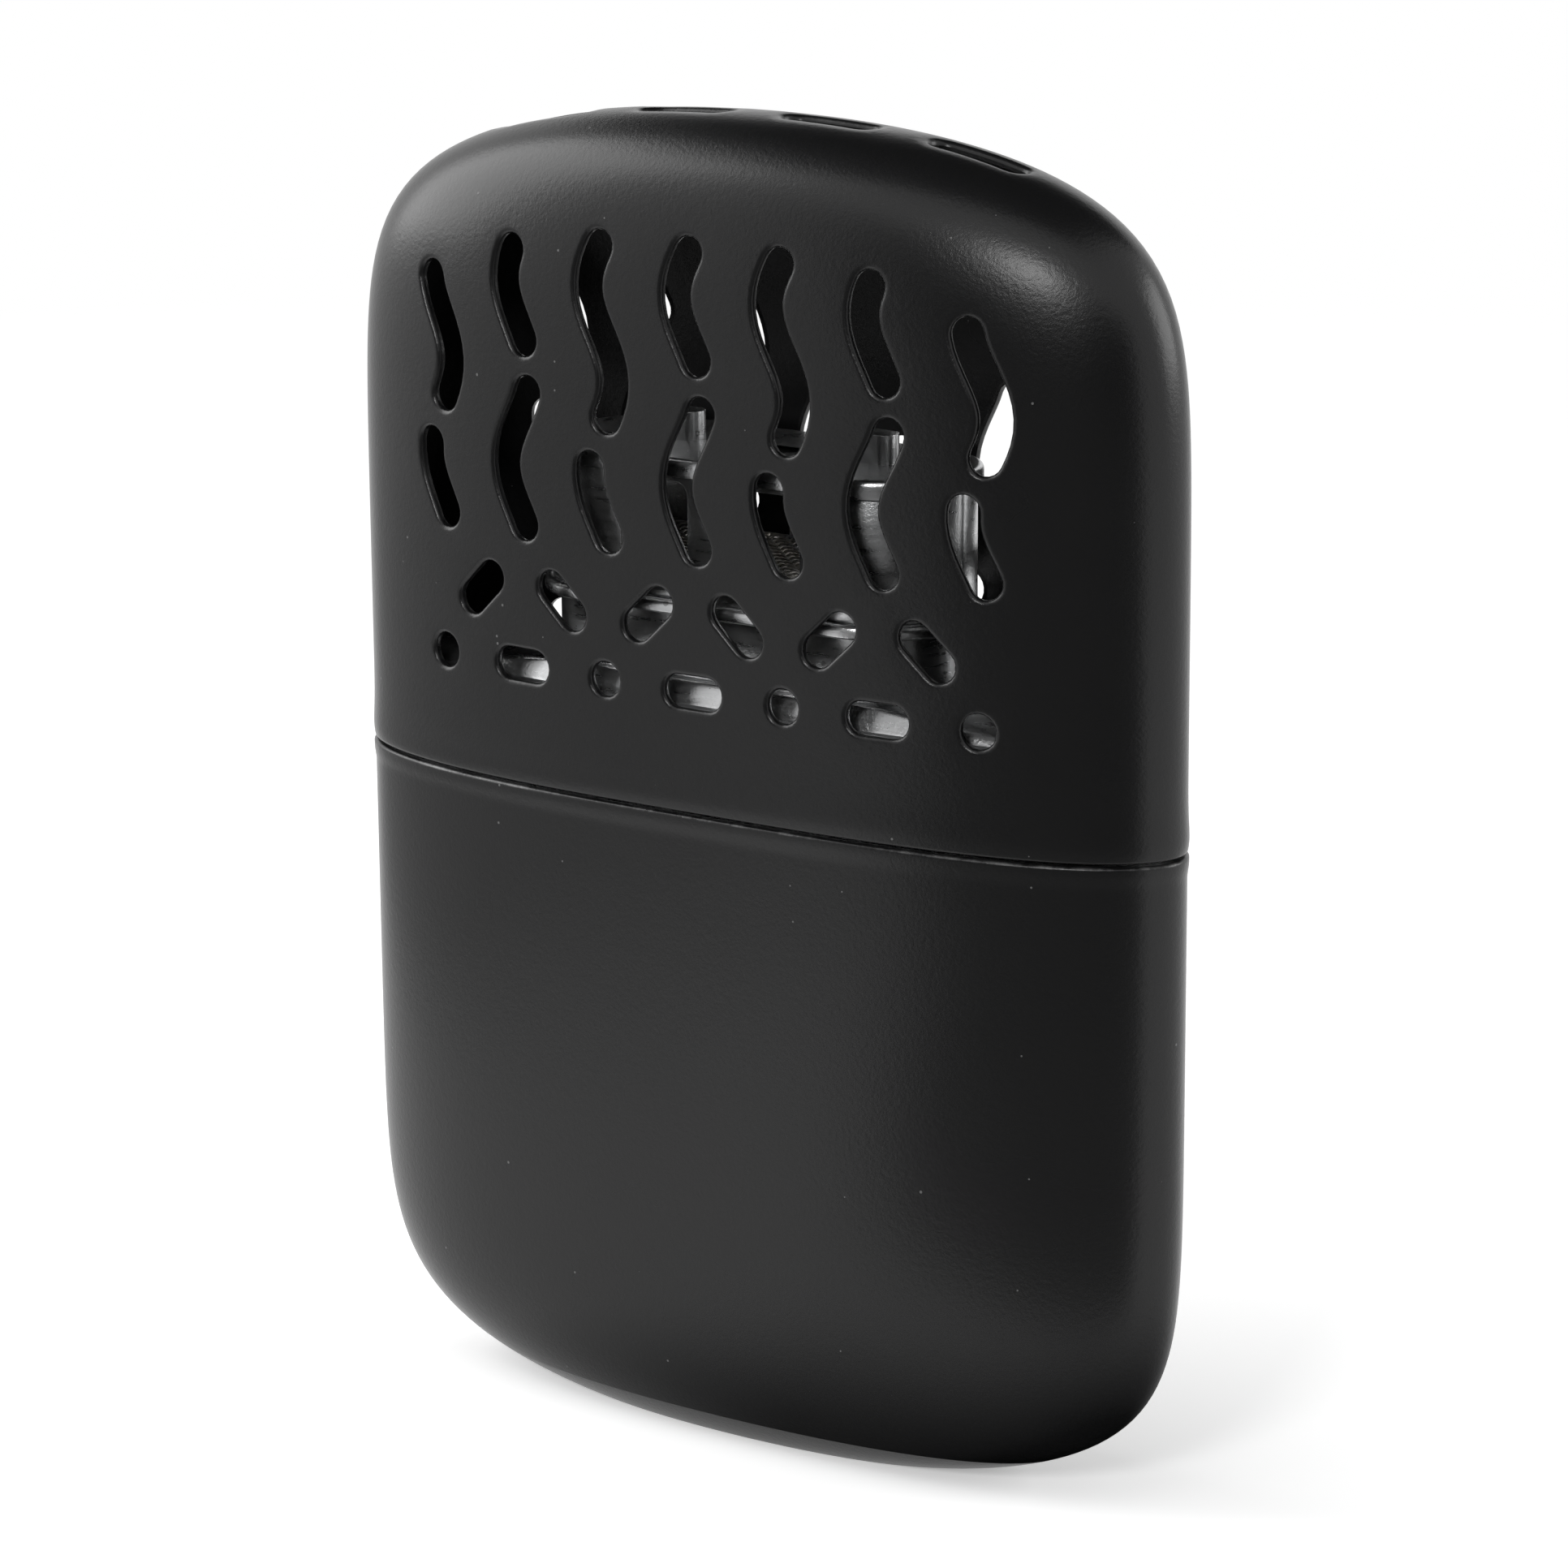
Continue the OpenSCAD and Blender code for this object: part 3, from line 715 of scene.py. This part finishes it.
modify(tank_top, "SOLIDIFY", thickness=plate * mm, offset=-1)
soften_edges(tank_top, 0.08)
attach(tank_top, "tank")
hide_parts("tank_top")

def bare_metal(tree, colour, gloss, bump):
    """Ends the node tree of an unpainted metal."""
    metal = add(tree, "BsdfPrincipled", {
        "Base Color": colour, "Metallic": 1.0, "Roughness": gloss.outputs["Result"],
        "Normal": bump.outputs[0]})
    add(tree, "OutputMaterial", {"Surface": metal.outputs[0]})


# Bright plate: nickel over drawn steel, with a fine peel, faint draw streaks and a little dulling.
bright_plate, tree = new_material("bright_plate")
where = add(tree, "TexCoord").outputs["Object"]
squeezed = add(tree, "Mapping", {"Vector": where, "Scale": (0.12, 0.12, 1.0)})
streaks = add(tree, "TexNoise", {"Vector": squeezed.outputs[0], "Scale": 2600.0, "Detail": 3.0})
dulling = add(tree, "TexNoise", {"Vector": where, "Scale": 210.0, "Detail": 4.0, "Roughness": 0.6})
tone = add(tree, "Mix", {"Factor": dulling.outputs["Fac"], 6: (0.46, 0.47, 0.48, 1),
                         7: (0.7, 0.7, 0.7, 1)}, data_type="RGBA")
specks = place(tree, dust, Scale=900.0, Size=0.2, Share=0.3)
pitted = add(tree, "Mix", {"Factor": specks.outputs[0], 6: tone.outputs[2], 7: (0.32, 0.32, 0.32, 1)},
             data_type="RGBA")
gloss = add(tree, "MapRange", {"Value": streaks.outputs["Fac"], "To Min": 0.2, "To Max": 0.4})
height = place(tree, grain, Peel=1700.0, Sand=5200.0, Sand_Share=0.5)
lines = add(tree, "Mix", {"Factor": 0.12, 2: height.outputs[0], 3: streaks.outputs["Fac"]},
            data_type="FLOAT")
bump = add(tree, "Bump", {"Height": lines.outputs[0], "Strength": 1.0, "Distance": 0.00004})
bare_metal(tree, pitted.outputs[2], gloss, bump)
tank_top.data.materials.append(bright_plate)


# ---- Mouth and its grid ----
# An oval neck drawn from bright plate, flanged under the shoulder and rounded at the rim. A pierced
# brass plate is pressed in at its foot to keep the cotton down.

mouth_r, mouth_plate = 5.2, 0.5
mouth_z = split_z + 13.6


def choose(piece, mask, kind="VERT"):
    """Goes into edit mode with the masked points or edges selected."""
    pick(piece)
    bpy.ops.object.mode_set(mode="EDIT")
    bpy.ops.mesh.select_mode(type=kind)
    bpy.ops.mesh.select_all(action="DESELECT")
    bpy.ops.object.mode_set(mode="OBJECT")
    parts = piece.data.edges if kind == "EDGE" else piece.data.vertices
    parts.foreach_set("select", np.asarray(mask, dtype=bool))
    bpy.ops.object.mode_set(mode="EDIT")


def halves_apart(piece, half):
    """Stretches a round piece into an oval: its right and left halves are moved apart."""
    for side in (-1, 1):
        choose(piece, points_of(piece)[:, 0] * side > 0.001)
        bpy.ops.transform.translate(value=(side * half * mm, 0, 0))
        bpy.ops.object.mode_set(mode="OBJECT")


def fillet(path, r, steps=4):
    """A path with its corners rounded."""
    path = [np.array(p, dtype=float) for p in path]
    points = [path[0]]
    for before, corner, after in zip(path, path[1:], path[2:]):
        back, on = before - corner, after - corner
        back, on = back / np.linalg.norm(back), on / np.linalg.norm(on)
        for share in np.linspace(0, 1, steps + 1):
            points.append(corner + back * r * (1 - share) ** 2 + on * r * share ** 2)
    return np.array(points + [path[-1]])


def oval_piece(name, half, section, closed=True):
    """Carries a section of (radius, height) points round an oval. A circle is extruded and resized
    from one point to the next, and its two halves are then moved apart."""
    radius, height = section[0]
    bpy.ops.mesh.primitive_circle_add(vertices=72, radius=radius * mm)
    piece = bpy.context.object
    piece.name = piece.data.name = name
    bpy.ops.object.mode_set(mode="EDIT")
    bpy.ops.mesh.select_mode(type="EDGE")
    bpy.ops.mesh.select_all(action="SELECT")
    bpy.ops.transform.translate(value=(0, 0, height * mm))
    steps = list(section[1:]) + ([section[0]] if closed else [])
    for next_radius, next_height in steps:
        bpy.ops.mesh.extrude_edges_move(
            TRANSFORM_OT_translate={"value": (0, 0, (next_height - height) * mm)})
        share = next_radius / radius
        bpy.ops.transform.resize(value=(share, share, 1), center_override=(0, 0, next_height * mm))
        radius, height = next_radius, next_height
    bpy.ops.object.mode_set(mode="OBJECT")
    halves_apart(piece, half)
    edit_all(piece)
    bpy.ops.mesh.remove_doubles(threshold=0.003 * mm)
    bpy.ops.mesh.normals_make_consistent(inside=False)
    bpy.ops.object.mode_set(mode="OBJECT")
    return piece


neck_r, flange_w, flange_z = mouth_r - mouth_plate / 2, 0.35, crest_z - 1.1
neck_path = fillet([
    (neck_r + flange_w, flange_z), (neck_r, flange_z), (neck_r, mouth_z - mouth_plate / 2)], 0.25)
neck = oval_piece("fuel_mouth_neck", mouth_half, slot_outline(neck_path, mouth_plate / 2))
smooth(neck, 40)
neck.data.materials.append(bright_plate)
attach(neck, "tank")
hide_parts("tank_mouth")

# Plain brass: rubbed bright in places and browned in others.
brass_plate, tree = new_material("brass_plate")
where = add(tree, "TexCoord").outputs["Object"]
brown = add(tree, "TexNoise", {"Vector": where, "Scale": 330.0, "Detail": 5.0, "Roughness": 0.65})
share = add(tree, "MapRange", {"Value": brown.outputs["Fac"], "From Min": 0.35, "From Max": 0.7})
tone = add(tree, "Mix", {"Factor": share.outputs["Result"], 6: (0.72, 0.6, 0.36, 1),
                         7: (0.36, 0.25, 0.13, 1)}, data_type="RGBA")
gloss = add(tree, "MapRange", {"Value": brown.outputs["Fac"], "To Min": 0.22, "To Max": 0.5})
height = place(tree, grain, Peel=1500.0, Sand=8000.0, Sand_Share=0.5)
bump = add(tree, "Bump", {"Height": height.outputs[0], "Strength": 1.0, "Distance": 0.00001})
bare_metal(tree, tone.outputs[2], gloss, bump)


def refinish(node, material):
    """Gives a CAD node that keeps its shape a better material."""
    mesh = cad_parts[node].data
    if mesh.materials:
        for slot in range(len(mesh.materials)):
            mesh.materials[slot] = material
    else:
        mesh.materials.append(material)


refinish("mouth_grid", brass_plate)


# ---- Felt and cotton batting ----
# A pressed felt pad under the grid leads vapour up out of three folded layers of cotton batting that
# soak up the fuel. All four are soft and lumpy, and are pushed in by hand.

near_axis = 0.05


def pad_section(r, low, high, corner):
    """Section of a flat pad with rounded corners, open at its axis."""
    return fillet([(near_axis, low), (r, low), (r, high), (near_axis, high)], corner, 6)


def dent(piece, size, depth, octaves=2):
    """Presses uneven hollows into a piece, never outwards."""
    lumps = bpy.data.textures.new(piece.name + "_lumps", "CLOUDS")
    lumps.noise_scale = size * mm
    lumps.noise_depth = octaves
    modify(piece, "DISPLACE", texture=lumps, texture_coords="LOCAL", strength=depth * mm,
           mid_level=1.0)


def soft_material(name, dark, light, fineness, depth, sheen):
    """Matted fibre: strands lying every way, with painted shade: paler on top and darker between."""
    material, tree = new_material(name)
    strands = place(tree, matting, Fineness=fineness)
    # Painted shade: the colour is darkest in the gaps between the strands and palest on their tops.
    tone = add(tree, "Mix", {"Factor": strands.outputs["Height"], 6: dark, 7: light}, data_type="RGBA")
    bump = add(tree, "Bump", {"Height": strands.outputs["Height"], "Strength": 1.0,
                              "Distance": depth * mm})
    cloth = add(tree, "BsdfPrincipled", {
        "Base Color": tone.outputs[2], "Roughness": 0.95, "Specular IOR Level": 0.2,
        "Sheen Weight": sheen, "Normal": bump.outputs[0]})
    add(tree, "OutputMaterial", {"Surface": cloth.outputs[0]})
    return material


# Matting: the brighter of three streaky noises, each drawn out along its own axis.
matting, matting_in, matting_out = new_group("matting", {"Fineness": 2600.0}, ["Height"])
where = add(matting, "TexCoord").outputs["Object"]
lays = []
for turn, stretch in ((0.4, (1, 0.16, 0.5)), (1.5, (0.16, 1, 0.4)), (2.4, (0.5, 0.3, 0.16))):
    lay = add(matting, "Mapping", {"Vector": where, "Rotation": (turn, turn / 2, turn),
                                   "Scale": stretch})
    streak = add(matting, "TexNoise", {"Vector": lay.outputs[0], "Detail": 2.0, "Distortion": 0.6})
    matting.links.new(matting_in.outputs["Fineness"], streak.inputs["Scale"])
    lays.append(streak.outputs["Fac"])
top = add(matting, "Math", {0: lays[0], 1: lays[1]}, operation="MAXIMUM")
top = add(matting, "Math", {0: top.outputs[0], 1: lays[2]}, operation="MAXIMUM")
spread = add(matting, "MapRange", {"Value": top.outputs[0], "From Min": 0.45, "From Max": 0.75})
matting.links.new(spread.outputs["Result"], matting_out.inputs["Height"])

felt = soft_material("felt", (0.34, 0.32, 0.29, 1), (0.66, 0.63, 0.58, 1), 5200.0, 0.07, 0.3)
cotton = soft_material("cotton", (0.6, 0.58, 0.53, 1), (0.93, 0.92, 0.89, 1), 2300.0, 0.16, 0.5)

felt_low, felt_high = (corner.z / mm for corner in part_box("mouth_felt"))
wick = oval_piece("felt_wick", mouth_half, pad_section(4.35, felt_low, felt_high, 0.7), closed=False)
modify(wick, "REMESH", mode="VOXEL", voxel_size=0.3 * mm)
dent(wick, 2.4, 0.5)
dent(wick, 0.7, 0.14, 3)
smooth(wick, 180)
wick.data.materials.append(felt)
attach(wick, "tank")
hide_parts("mouth_felt")


def round_upright_edges(piece, r, segments):
    """Rounds the edges of a block that run from front to back."""
    ends = points_of(piece)[[edge.vertices[:] for edge in piece.data.edges]]
    run = np.abs(ends[:, 0] - ends[:, 1])
    choose(piece, run[:, 1] > run[:, [0, 2]].max(axis=1), "EDGE")
    bpy.ops.mesh.bevel(offset=r * mm, segments=segments, affect="EDGES")
    bpy.ops.object.mode_set(mode="OBJECT")


def batting_layer(name, node, corner):
    """A folded layer of batting: a slab with round corners, thinner towards its edges and lumpy."""
    low, high = (np.array(c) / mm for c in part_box(node))
    size, middle = high - low, (high + low) / 2
    bpy.ops.mesh.primitive_cube_add(size=1, location=middle * mm)
    piece = bpy.context.object
    piece.name = piece.data.name = name
    piece.scale = size * mm
    bpy.ops.object.transform_apply(location=True, rotation=True, scale=True)
    round_upright_edges(piece, corner, 8)
    modify(piece, "REMESH", mode="VOXEL", voxel_size=0.75 * mm)
    at = points_of(piece)
    reach = np.clip(np.abs(at[:, [0, 2]] - middle[[0, 2]]) / (size[[0, 2]] / 2), 0, 1)
    edge_share = np.clip((reach ** 5).sum(axis=1), 0, 1)
    sway = np.sin(at[:, 0] / 7.0 + middle[1]) * np.sin(at[:, 2] / 9.0)
    at[:, 1] = middle[1] + (at[:, 1] - middle[1]) * (1 - 0.5 * edge_share - 0.06 * (1 + sway))
    move_points(piece, at)
    modify(piece, "SMOOTH", factor=0.5, iterations=4)
    dent(piece, 5.0, 0.7)
    dent(piece, 1.6, 0.3, 3)
    smooth(piece, 180)
    piece.data.materials.append(cotton)
    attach(piece, "tank")
    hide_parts(node)


batting_layer("batting_front", "cotton_front", 7.5)
batting_layer("batting_middle", "cotton_middle", 9.5)
batting_layer("batting_back", "cotton_back", 7.5)


# ---- Burner skirt and floor ----
# A sleeve of thin bright sheet that slips over the mouth, turned out into a flange that carries the
# cage, with its edge turned down. The pierced steel floor in it rests on the mouth's rim.

sheet, sleeve_r, lip_r_out = 0.4, 5.48, 6.6
sleeve_z, ledge_z = mouth_z - 3.6, mouth_z + 0.6
skirt_path = fillet([
    (sleeve_r, sleeve_z), (sleeve_r, ledge_z), (lip_r_out, ledge_z), (lip_r_out, mouth_z)], 0.28)
skirt = oval_piece("burner_sleeve", mouth_half, slot_outline(skirt_path, sheet / 2))
smooth(skirt, 40)
skirt.data.materials.append(bright_plate)
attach(skirt, "burner")
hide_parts("burner_skirt")

# Stainless steel that the heat has dulled, with a straw and bluish tint here and there.
steel_wire, tree = new_material("steel_wire")
where = add(tree, "TexCoord").outputs["Object"]
heat = add(tree, "TexNoise", {"Vector": where, "Scale": 150.0, "Detail": 3.0})
tints = add(tree, "ValToRGB", {"Fac": heat.outputs["Fac"]})
tints.color_ramp.elements[0].position = 0.34
tints.color_ramp.elements[0].color = (0.5, 0.49, 0.48, 1)
tints.color_ramp.elements[1].position = 0.68
tints.color_ramp.elements[1].color = (0.36, 0.38, 0.43, 1)
straw = tints.color_ramp.elements.new(0.52)
straw.color = (0.52, 0.49, 0.44, 1)
fine = add(tree, "TexNoise", {"Vector": where, "Scale": 5200.0, "Detail": 2.0})
gloss = add(tree, "MapRange", {"Value": fine.outputs["Fac"], "To Min": 0.3, "To Max": 0.52})
bump = add(tree, "Bump", {"Height": fine.outputs["Fac"], "Strength": 1.0, "Distance": 0.000008})
bare_metal(tree, tints.outputs["Color"], gloss, bump)
refinish("burner_floor", steel_wire)


# ---- Catalyst mat ----
# A thick oval pad of glass fibre carrying the catalyst, cut from a felted sheet and laid in the
# burner. Its cut edge is fluffy and loose ends stand out of it.

mat_low, mat_high = (corner.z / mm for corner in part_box("catalyst_mat"))
mat_r = 5.35
mat = oval_piece("fibre_mat", mouth_half, pad_section(mat_r, mat_low, mat_high, 0.85), closed=False)
modify(mat, "REMESH", mode="VOXEL", voxel_size=0.28 * mm)
dent(mat, 2.8, 0.45)
dent(mat, 0.6, 0.22, 4)
smooth(mat, 180)

loose_count, loose_r, loose_bow = 420, 0.02, 0.34
random.seed(7)
strands = bpy.data.curves.new("loose_ends", "CURVE")
strands.dimensions = "3D"
strands.bevel_depth = loose_r * mm
strands.bevel_resolution = 0
for _ in range(loose_count):
    side = random.uniform(-mouth_half - mat_r + 0.6, mouth_half + mat_r - 0.6)
    reach = math.sqrt(max(0.0, (mat_r - 0.5) ** 2 - max(0.0, abs(side) - mouth_half) ** 2))
    root = Vector((side, random.uniform(-reach, reach), mat_high - 0.42))
    heading = random.uniform(0, 2 * math.pi)
    run = Vector((math.cos(heading), math.sin(heading), 0)) * random.uniform(0.4, 1.3)
    strand = strands.splines.new("POLY")
    strand.points.add(4)
    for i, point in enumerate(strand.points):
        share = i / 4
        bow = Vector((0, 0, loose_bow * math.sin(math.pi * share)))
        point.co = (*((root + run * (share - 0.5) + bow) * mm), 1)
loose_ends = bpy.data.objects.new("loose_ends", strands)
bpy.context.collection.objects.link(loose_ends)
pick(loose_ends)
bpy.ops.object.convert(target="MESH")
mat.select_set(True)
bpy.context.view_layer.objects.active = mat
bpy.ops.object.join()
catalyst_fibre = soft_material(
    "catalyst_fibre", (0.13, 0.125, 0.12, 1), (0.5, 0.49, 0.47, 1), 4200.0, 0.09, 0.15)
mat.data.materials.clear()
mat.data.materials.append(catalyst_fibre)
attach(mat, "burner")
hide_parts("catalyst_mat")


# ---- Woven screens ----
# Two plain-woven screens of fine stainless wire, one under the mat and one over it, each trimmed to an
# oval with a heavier wire round its edge.

def woven_screen(name, node, half, r):
    """Wires laid over and under each other across an oval, inside a rim of thicker wire."""
    low, high = (corner.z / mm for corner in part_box(node))
    wire_r, pitch, rim_wire = (high - low) / 4, 0.8, (high - low) / 2
    weave = bpy.data.curves.new(name, "CURVE")
    weave.dimensions = "3D"
    weave.bevel_depth = wire_r * mm
    weave.bevel_resolution = 1
    inner = r - rim_wire

    def wire(points, closed=False, thick=1.0):
        spline = weave.splines.new("POLY")
        spline.points.add(len(points) - 1)
        spline.use_cyclic_u = closed
        for point, at in zip(spline.points, points):
            point.co = (*(Vector(at) * mm), 1)
            point.radius = thick

    middle = (low + high) / 2
    rows = int(inner / pitch)
    for k in range(-rows, rows + 1):
        reach = half + math.sqrt(max(0.0, inner ** 2 - (k * pitch) ** 2))
        runs = np.arange(-reach, reach, pitch / 4)
        wire([(x, k * pitch, middle + wire_r * math.cos(math.pi * (x / pitch + k))) for x in runs])
    columns = int((half + inner) / pitch)
    for k in range(-columns, columns + 1):
        reach = math.sqrt(max(0.0, inner ** 2 - max(0.0, abs(k * pitch) - half) ** 2))
        if reach > pitch:
            runs = np.arange(-reach, reach, pitch / 4)
            wire([(k * pitch, y, middle - wire_r * math.cos(math.pi * (y / pitch + k))) for y in runs])
    edge = oval(half, inner)[::3]
    wire([(x, y, middle) for x, y in edge], closed=True, thick=rim_wire / wire_r)
    piece = bpy.data.objects.new(name, weave)
    bpy.context.collection.objects.link(piece)
    pick(piece)
    bpy.ops.object.convert(target="MESH")
    piece = bpy.context.object
    smooth(piece, 60)
    piece.data.materials.clear()
    piece.data.materials.append(steel_wire)
    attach(piece, "burner")
    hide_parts(node)


woven_screen("lower_screen", "support_screen", mouth_half, 5.2)
woven_screen("upper_screen", "mat_screen", mouth_half, 5.74)


# ---- Cage ----
# The burner's upright wall, bent from two strips of bright sheet that meet at the ends. Each strip has
# two punched windows with a strap left standing between them.

cage_r, strap_w = 6.2, 3.6
window_w, window_h, window_corner = 5.6, 7.2, 0.9
cage_low, cage_high = (corner.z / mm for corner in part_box("cage_front"))


def cut(piece, cutter):
    """Cuts one shape out of a piece."""
    modify(piece, "BOOLEAN", operation="DIFFERENCE", object=cutter, solver="EXACT")
    bpy.data.objects.remove(cutter)


def window_cutter(x, z):
    """A bar with rounded corners that runs through the cage from front to back."""
    bpy.ops.mesh.primitive_cube_add(size=1, location=(x * mm, 0, z * mm))
    bar = bpy.context.object
    bar.scale = (window_w * mm, 4 * cage_r * mm, window_h * mm)
    bpy.ops.object.transform_apply(location=True, rotation=True, scale=True)
    round_upright_edges(bar, window_corner, 6)
    return bar


cage_in, half_gap, window_drop = cage_r - sheet, 0.02, 0.2
window_x, window_z = (strap_w + window_w) / 2, (cage_low + cage_high) / 2 - window_drop
strip = [(cage_r, cage_low), (cage_r, cage_high), (cage_in, cage_high), (cage_in, cage_low)]
for side, name, node in ((-1, "cage_strip_front", "cage_front"), (1, "cage_strip_back", "cage_back")):
    piece = oval_piece(name, mouth_half, strip)
    for x in (-1, 1):
        cut(piece, window_cutter(x * window_x, window_z))
    edit_all(piece)
    bpy.ops.mesh.bisect(plane_co=(0, side * half_gap * mm, 0), plane_no=(0, side, 0), use_fill=True,
                        clear_inner=True)
    bpy.ops.object.mode_set(mode="OBJECT")
    soften_edges(piece, 0.07)
    piece.data.materials.append(bright_plate)
    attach(piece, "burner")
    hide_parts(node)


# ---- Cage cap ----
# A plate of bright sheet with its edge turned down over both strips, and three slots for warm air.
# Known fault: only the middle slot is cut through. The plate's mesh is open along its middle, and the
# outer two cuts leave raised stubs on it.

cap_low, cap_high = (corner.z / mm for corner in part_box("cage_cap"))
cap_r, cap_slot, cap_slot_r, cap_slot_step = 6.63, 2.0, 1.1, 8.0
cap_in, cap_inner_z = cap_r - sheet, cap_high - sheet
cap_over = fillet([(near_axis, cap_high), (cap_r, cap_high), (cap_r, cap_low)], 0.45)
cap_under = fillet([(cap_in, cap_low), (cap_in, cap_inner_z), (near_axis, cap_inner_z)], 0.1, 2)
cap = oval_piece("cage_lid", mouth_half, np.concatenate([cap_over, cap_under]), closed=False)
for k in (-1, 0, 1):
    bpy.ops.mesh.primitive_cylinder_add(vertices=40, radius=cap_slot_r * mm, depth=4 * mm)
    punch = bpy.context.object
    halves_apart(punch, cap_slot)
    punch.location = (k * cap_slot_step * mm, 0, cap_high * mm)
    bpy.ops.object.transform_apply(location=True, rotation=True, scale=True)
    cut(cap, punch)
soften_edges(cap, 0.07)
cap.data.materials.append(bright_plate)
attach(cap, "burner")
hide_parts("cage_cap")
